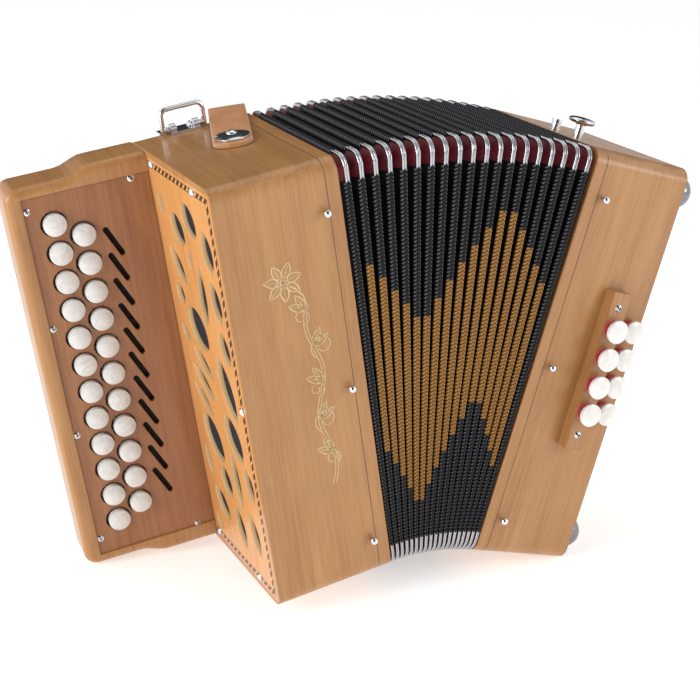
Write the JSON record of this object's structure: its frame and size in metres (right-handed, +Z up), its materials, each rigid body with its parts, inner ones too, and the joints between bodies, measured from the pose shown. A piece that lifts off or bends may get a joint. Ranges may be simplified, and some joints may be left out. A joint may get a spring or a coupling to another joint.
{
  "type": "button accordion",
  "caption": "Two-row diatonic button accordion, fanned open: wooden casings, pleated bellows, rocking melody keys, bass buttons, straps.",
  "frame": {"origin": "middle of the whole box, on the floor it stands on", "axes": "+X from the treble side towards the bass side, +Y from the front towards the player, +Z up"},
  "size_m": [0.4184, 0.1832, 0.2986],
  "materials": {
    "honey_wood": "satin lacquered honey-coloured hardwood",
    "fret_wood": "satin lacquered, paler cut edges",
    "panel_wood": "satin lacquered redder hardwood",
    "inner_wood": "bare spruce",
    "reed_plate": "brushed",
    "chrome": "polished",
    "strap_leather": "smooth tan leather",
    "bellows_cloth": "black cloth over card",
    "red_felt": "red felt",
    "pearl_button": "pearly white, levers and pallets on the same node",
    "white_button": "glossy white"
  },
  "bodies": {
    "treble": {"treble_case": "honey_wood", "treble_frame": "honey_wood", "grille": "fret_wood", "fingerboard_box": "honey_wood", "fingerboard_panel": "panel_wood", "treble_screws": "chrome", "treble_soundboard": "inner_wood", "treble_reed_blocks": "inner_wood", "treble_reed_plates": "reed_plate", "key_axle": "chrome", "strap_bracket": "chrome", "strap_rivet": "chrome", "treble_pins": "chrome", "bellows": "bellows_cloth", "bellows_corners": "chrome"},
    "bass": {"bass_frame": "honey_wood", "bass_case": "honey_wood", "bass_soundboard": "inner_wood", "bass_reed_blocks": "inner_wood", "bass_plinth": "honey_wood", "hand_strap": "strap_leather", "bass_feet": "chrome", "press_stud": "chrome", "bass_pins": "chrome", "bass_bushings": "red_felt"},
    "strap": {"bellows_strap": "strap_leather"},
    "strap_end": {"bellows_strap_end": "strap_leather"},
    "strap_loop": {"strap_loop": "chrome"},
    "air_button": {"air_button": "chrome"},
    "melody_key_01": {"melody_key_01": "pearl_button"},
    "melody_key_02": {"melody_key_02": "pearl_button"},
    "melody_key_03": {"melody_key_03": "pearl_button"},
    "melody_key_04": {"melody_key_04": "pearl_button"},
    "melody_key_05": {"melody_key_05": "pearl_button"},
    "melody_key_06": {"melody_key_06": "pearl_button"},
    "melody_key_07": {"melody_key_07": "pearl_button"},
    "melody_key_08": {"melody_key_08": "pearl_button"},
    "melody_key_09": {"melody_key_09": "pearl_button"},
    "melody_key_10": {"melody_key_10": "pearl_button"},
    "melody_key_11": {"melody_key_11": "pearl_button"},
    "melody_key_12": {"melody_key_12": "pearl_button"},
    "melody_key_13": {"melody_key_13": "pearl_button"},
    "melody_key_14": {"melody_key_14": "pearl_button"},
    "melody_key_15": {"melody_key_15": "pearl_button"},
    "melody_key_16": {"melody_key_16": "pearl_button"},
    "melody_key_17": {"melody_key_17": "pearl_button"},
    "melody_key_18": {"melody_key_18": "pearl_button"},
    "melody_key_19": {"melody_key_19": "pearl_button"},
    "melody_key_20": {"melody_key_20": "pearl_button"},
    "melody_key_21": {"melody_key_21": "pearl_button"},
    "melody_key_22": {"melody_key_22": "pearl_button"},
    "melody_key_23": {"melody_key_23": "pearl_button"},
    "bass_button_1": {"bass_button_1": "white_button"},
    "bass_button_2": {"bass_button_2": "white_button"},
    "bass_button_3": {"bass_button_3": "white_button"},
    "bass_button_4": {"bass_button_4": "white_button"},
    "bass_button_5": {"bass_button_5": "white_button"},
    "bass_button_6": {"bass_button_6": "white_button"},
    "bass_button_7": {"bass_button_7": "white_button"},
    "bass_button_8": {"bass_button_8": "white_button"}
  },
  "joints": [
    {"name": "bellows_fan", "type": "hinge", "parent": "treble", "child": "bass", "pos_m": [0.02789, -0.00706, 0.02716], "axis": [0, 1, 0], "range_deg": [-25.4, 10], "deforming": ["bellows", "bellows_corners"]},
    {"name": "strap_swing", "type": "hinge", "parent": "treble", "child": "strap", "pos_m": [-0.08024, 0.00344, 0.28362], "axis": [-0.1762, 0, 0.9844], "range_deg": [-74.24, 0]},
    {"name": "strap_unfold", "type": "hinge", "parent": "strap", "child": "strap_end", "pos_m": [-0.05652, 0.07341, 0.28786], "axis": [0.9307, -0.3256, 0.1666], "range_deg": [-0.5, 68.5]},
    {"name": "strap_loop_tilt", "type": "hinge", "parent": "treble", "child": "strap_loop", "pos_m": [-0.09383, 0.04944, 0.28291], "axis": [0.9844, 0, 0.1762], "range_deg": [-45, 80]},
    {"name": "air_button_press", "type": "slide", "parent": "bass", "child": "air_button", "axis": [-0.2631, 0, -0.9648], "range_m": [0, 0.006], "stiffness_N_per_m": 300, "springref_m": -0.003},
    {"name": "melody_key_01_press", "type": "hinge", "parent": "treble", "child": "melody_key_01", "pos_m": [-0.10781, 0.04545, 0.24501], "axis": [0.1762, 0, -0.9844], "range_deg": [0, 2.53], "stiffness_Nm_per_rad": 0.9, "springref_deg": -2.86},
    {"name": "melody_key_02_press", "type": "hinge", "parent": "treble", "child": "melody_key_02", "pos_m": [-0.10455, 0.04545, 0.2268], "axis": [0.1762, 0, -0.9844], "range_deg": [0, 2.53], "stiffness_Nm_per_rad": 0.9, "springref_deg": -2.86},
    {"name": "melody_key_03_press", "type": "hinge", "parent": "treble", "child": "melody_key_03", "pos_m": [-0.10129, 0.04545, 0.20858], "axis": [0.1762, 0, -0.9844], "range_deg": [0, 2.53], "stiffness_Nm_per_rad": 0.9, "springref_deg": -2.86},
    {"name": "melody_key_04_press", "type": "hinge", "parent": "treble", "child": "melody_key_04", "pos_m": [-0.09803, 0.04545, 0.19037], "axis": [0.1762, 0, -0.9844], "range_deg": [0, 2.53], "stiffness_Nm_per_rad": 0.9, "springref_deg": -2.86},
    {"name": "melody_key_05_press", "type": "hinge", "parent": "treble", "child": "melody_key_05", "pos_m": [-0.09477, 0.04545, 0.17216], "axis": [0.1762, 0, -0.9844], "range_deg": [0, 2.53], "stiffness_Nm_per_rad": 0.9, "springref_deg": -2.86},
    {"name": "melody_key_06_press", "type": "hinge", "parent": "treble", "child": "melody_key_06", "pos_m": [-0.09151, 0.04545, 0.15395], "axis": [0.1762, 0, -0.9844], "range_deg": [0, 2.53], "stiffness_Nm_per_rad": 0.9, "springref_deg": -2.86},
    {"name": "melody_key_07_press", "type": "hinge", "parent": "treble", "child": "melody_key_07", "pos_m": [-0.08826, 0.04545, 0.13574], "axis": [0.1762, 0, -0.9844], "range_deg": [0, 2.53], "stiffness_Nm_per_rad": 0.9, "springref_deg": -2.86},
    {"name": "melody_key_08_press", "type": "hinge", "parent": "treble", "child": "melody_key_08", "pos_m": [-0.085, 0.04545, 0.11753], "axis": [0.1762, 0, -0.9844], "range_deg": [0, 2.53], "stiffness_Nm_per_rad": 0.9, "springref_deg": -2.86},
    {"name": "melody_key_09_press", "type": "hinge", "parent": "treble", "child": "melody_key_09", "pos_m": [-0.08174, 0.04545, 0.09932], "axis": [0.1762, 0, -0.9844], "range_deg": [0, 2.53], "stiffness_Nm_per_rad": 0.9, "springref_deg": -2.86},
    {"name": "melody_key_10_press", "type": "hinge", "parent": "treble", "child": "melody_key_10", "pos_m": [-0.07848, 0.04545, 0.08111], "axis": [0.1762, 0, -0.9844], "range_deg": [0, 2.53], "stiffness_Nm_per_rad": 0.9, "springref_deg": -2.86},
    {"name": "melody_key_11_press", "type": "hinge", "parent": "treble", "child": "melody_key_11", "pos_m": [-0.07522, 0.04545, 0.0629], "axis": [0.1762, 0, -0.9844], "range_deg": [0, 2.53], "stiffness_Nm_per_rad": 0.9, "springref_deg": -2.86},
    {"name": "melody_key_12_press", "type": "hinge", "parent": "treble", "child": "melody_key_12", "pos_m": [-0.07196, 0.04545, 0.04469], "axis": [0.1762, 0, -0.9844], "range_deg": [0, 2.53], "stiffness_Nm_per_rad": 0.9, "springref_deg": -2.86},
    {"name": "melody_key_13_press", "type": "hinge", "parent": "treble", "child": "melody_key_13", "pos_m": [-0.10602, 0.04545, 0.23497], "axis": [0.1762, 0, -0.9844], "range_deg": [0, 3.24], "stiffness_Nm_per_rad": 0.9, "springref_deg": -2.86},
    {"name": "melody_key_14_press", "type": "hinge", "parent": "treble", "child": "melody_key_14", "pos_m": [-0.10276, 0.04545, 0.21676], "axis": [0.1762, 0, -0.9844], "range_deg": [0, 3.24], "stiffness_Nm_per_rad": 0.9, "springref_deg": -2.86},
    {"name": "melody_key_15_press", "type": "hinge", "parent": "treble", "child": "melody_key_15", "pos_m": [-0.0995, 0.04545, 0.19854], "axis": [0.1762, 0, -0.9844], "range_deg": [0, 3.24], "stiffness_Nm_per_rad": 0.9, "springref_deg": -2.86},
    {"name": "melody_key_16_press", "type": "hinge", "parent": "treble", "child": "melody_key_16", "pos_m": [-0.09624, 0.04545, 0.18033], "axis": [0.1762, 0, -0.9844], "range_deg": [0, 3.24], "stiffness_Nm_per_rad": 0.9, "springref_deg": -2.86},
    {"name": "melody_key_17_press", "type": "hinge", "parent": "treble", "child": "melody_key_17", "pos_m": [-0.09298, 0.04545, 0.16212], "axis": [0.1762, 0, -0.9844], "range_deg": [0, 3.24], "stiffness_Nm_per_rad": 0.9, "springref_deg": -2.86},
    {"name": "melody_key_18_press", "type": "hinge", "parent": "treble", "child": "melody_key_18", "pos_m": [-0.08972, 0.04545, 0.14391], "axis": [0.1762, 0, -0.9844], "range_deg": [0, 3.24], "stiffness_Nm_per_rad": 0.9, "springref_deg": -2.86},
    {"name": "melody_key_19_press", "type": "hinge", "parent": "treble", "child": "melody_key_19", "pos_m": [-0.08646, 0.04545, 0.1257], "axis": [0.1762, 0, -0.9844], "range_deg": [0, 3.24], "stiffness_Nm_per_rad": 0.9, "springref_deg": -2.86},
    {"name": "melody_key_20_press", "type": "hinge", "parent": "treble", "child": "melody_key_20", "pos_m": [-0.0832, 0.04545, 0.10749], "axis": [0.1762, 0, -0.9844], "range_deg": [0, 3.24], "stiffness_Nm_per_rad": 0.9, "springref_deg": -2.86},
    {"name": "melody_key_21_press", "type": "hinge", "parent": "treble", "child": "melody_key_21", "pos_m": [-0.07994, 0.04545, 0.08928], "axis": [0.1762, 0, -0.9844], "range_deg": [0, 3.24], "stiffness_Nm_per_rad": 0.9, "springref_deg": -2.86},
    {"name": "melody_key_22_press", "type": "hinge", "parent": "treble", "child": "melody_key_22", "pos_m": [-0.07668, 0.04545, 0.07107], "axis": [0.1762, 0, -0.9844], "range_deg": [0, 3.24], "stiffness_Nm_per_rad": 0.9, "springref_deg": -2.86},
    {"name": "melody_key_23_press", "type": "hinge", "parent": "treble", "child": "melody_key_23", "pos_m": [-0.07342, 0.04545, 0.05286], "axis": [0.1762, 0, -0.9844], "range_deg": [0, 3.24], "stiffness_Nm_per_rad": 0.9, "springref_deg": -2.86},
    {"name": "bass_button_1_press", "type": "slide", "parent": "bass", "child": "bass_button_1", "axis": [0, 1, 0], "range_m": [0, 0.003], "stiffness_N_per_m": 250, "springref_m": -0.003},
    {"name": "bass_button_2_press", "type": "slide", "parent": "bass", "child": "bass_button_2", "axis": [0, 1, 0], "range_m": [0, 0.003], "stiffness_N_per_m": 250, "springref_m": -0.003},
    {"name": "bass_button_3_press", "type": "slide", "parent": "bass", "child": "bass_button_3", "axis": [0, 1, 0], "range_m": [0, 0.003], "stiffness_N_per_m": 250, "springref_m": -0.003},
    {"name": "bass_button_4_press", "type": "slide", "parent": "bass", "child": "bass_button_4", "axis": [0, 1, 0], "range_m": [0, 0.003], "stiffness_N_per_m": 250, "springref_m": -0.003},
    {"name": "bass_button_5_press", "type": "slide", "parent": "bass", "child": "bass_button_5", "axis": [0, 1, 0], "range_m": [0, 0.003], "stiffness_N_per_m": 250, "springref_m": -0.003},
    {"name": "bass_button_6_press", "type": "slide", "parent": "bass", "child": "bass_button_6", "axis": [0, 1, 0], "range_m": [0, 0.003], "stiffness_N_per_m": 250, "springref_m": -0.003},
    {"name": "bass_button_7_press", "type": "slide", "parent": "bass", "child": "bass_button_7", "axis": [0, 1, 0], "range_m": [0, 0.003], "stiffness_N_per_m": 250, "springref_m": -0.003},
    {"name": "bass_button_8_press", "type": "slide", "parent": "bass", "child": "bass_button_8", "axis": [0, 1, 0], "range_m": [0, 0.003], "stiffness_N_per_m": 250, "springref_m": -0.003}
  ],
  "couplings": [
    {"joint": "strap_unfold", "follows": "strap_swing", "ratio": -0.91595}
  ]
}
